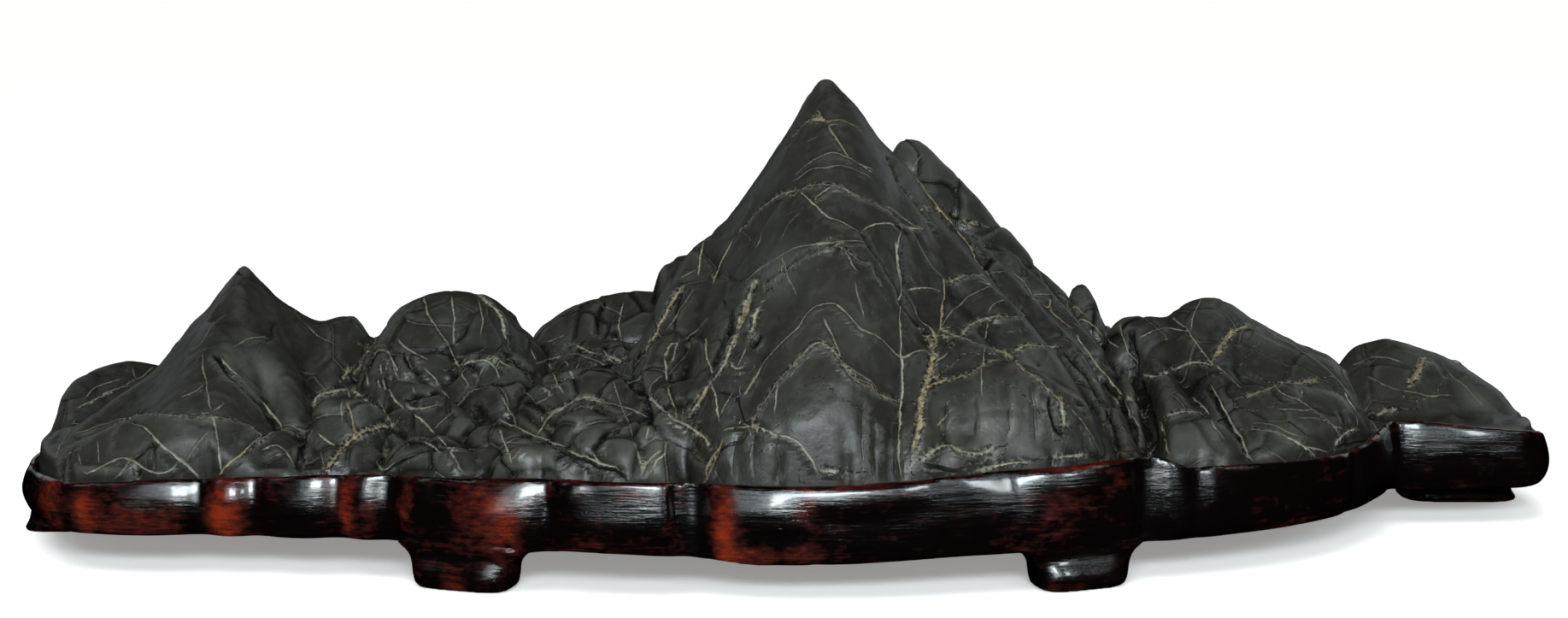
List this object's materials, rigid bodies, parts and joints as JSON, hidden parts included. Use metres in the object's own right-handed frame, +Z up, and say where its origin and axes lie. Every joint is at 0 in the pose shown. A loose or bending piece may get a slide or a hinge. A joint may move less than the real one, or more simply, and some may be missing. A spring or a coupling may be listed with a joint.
{
  "type": "suiseki",
  "caption": "Long black mountain-range viewing stone resting in a low carved lacquered wooden stand with short feet.",
  "frame": {"origin": "on the ground, under the middle of the stand's outline", "axes": "+X to the right along the range as seen from its front, +Y to the back, +Z up"},
  "size_m": [0.4088, 0.1754, 0.1182],
  "materials": {
    "stone": "dark grey-black fine-grained stone with a waxy hand-rubbed sheen and thin cream and ochre veins",
    "stand": "carved hardwood under glossy black-over-red lacquer, worn through to red on its edges and bulges"
  },
  "bodies": {
    "root": {"stone": "stone", "stand": "stand"}
  },
  "joints": []
}
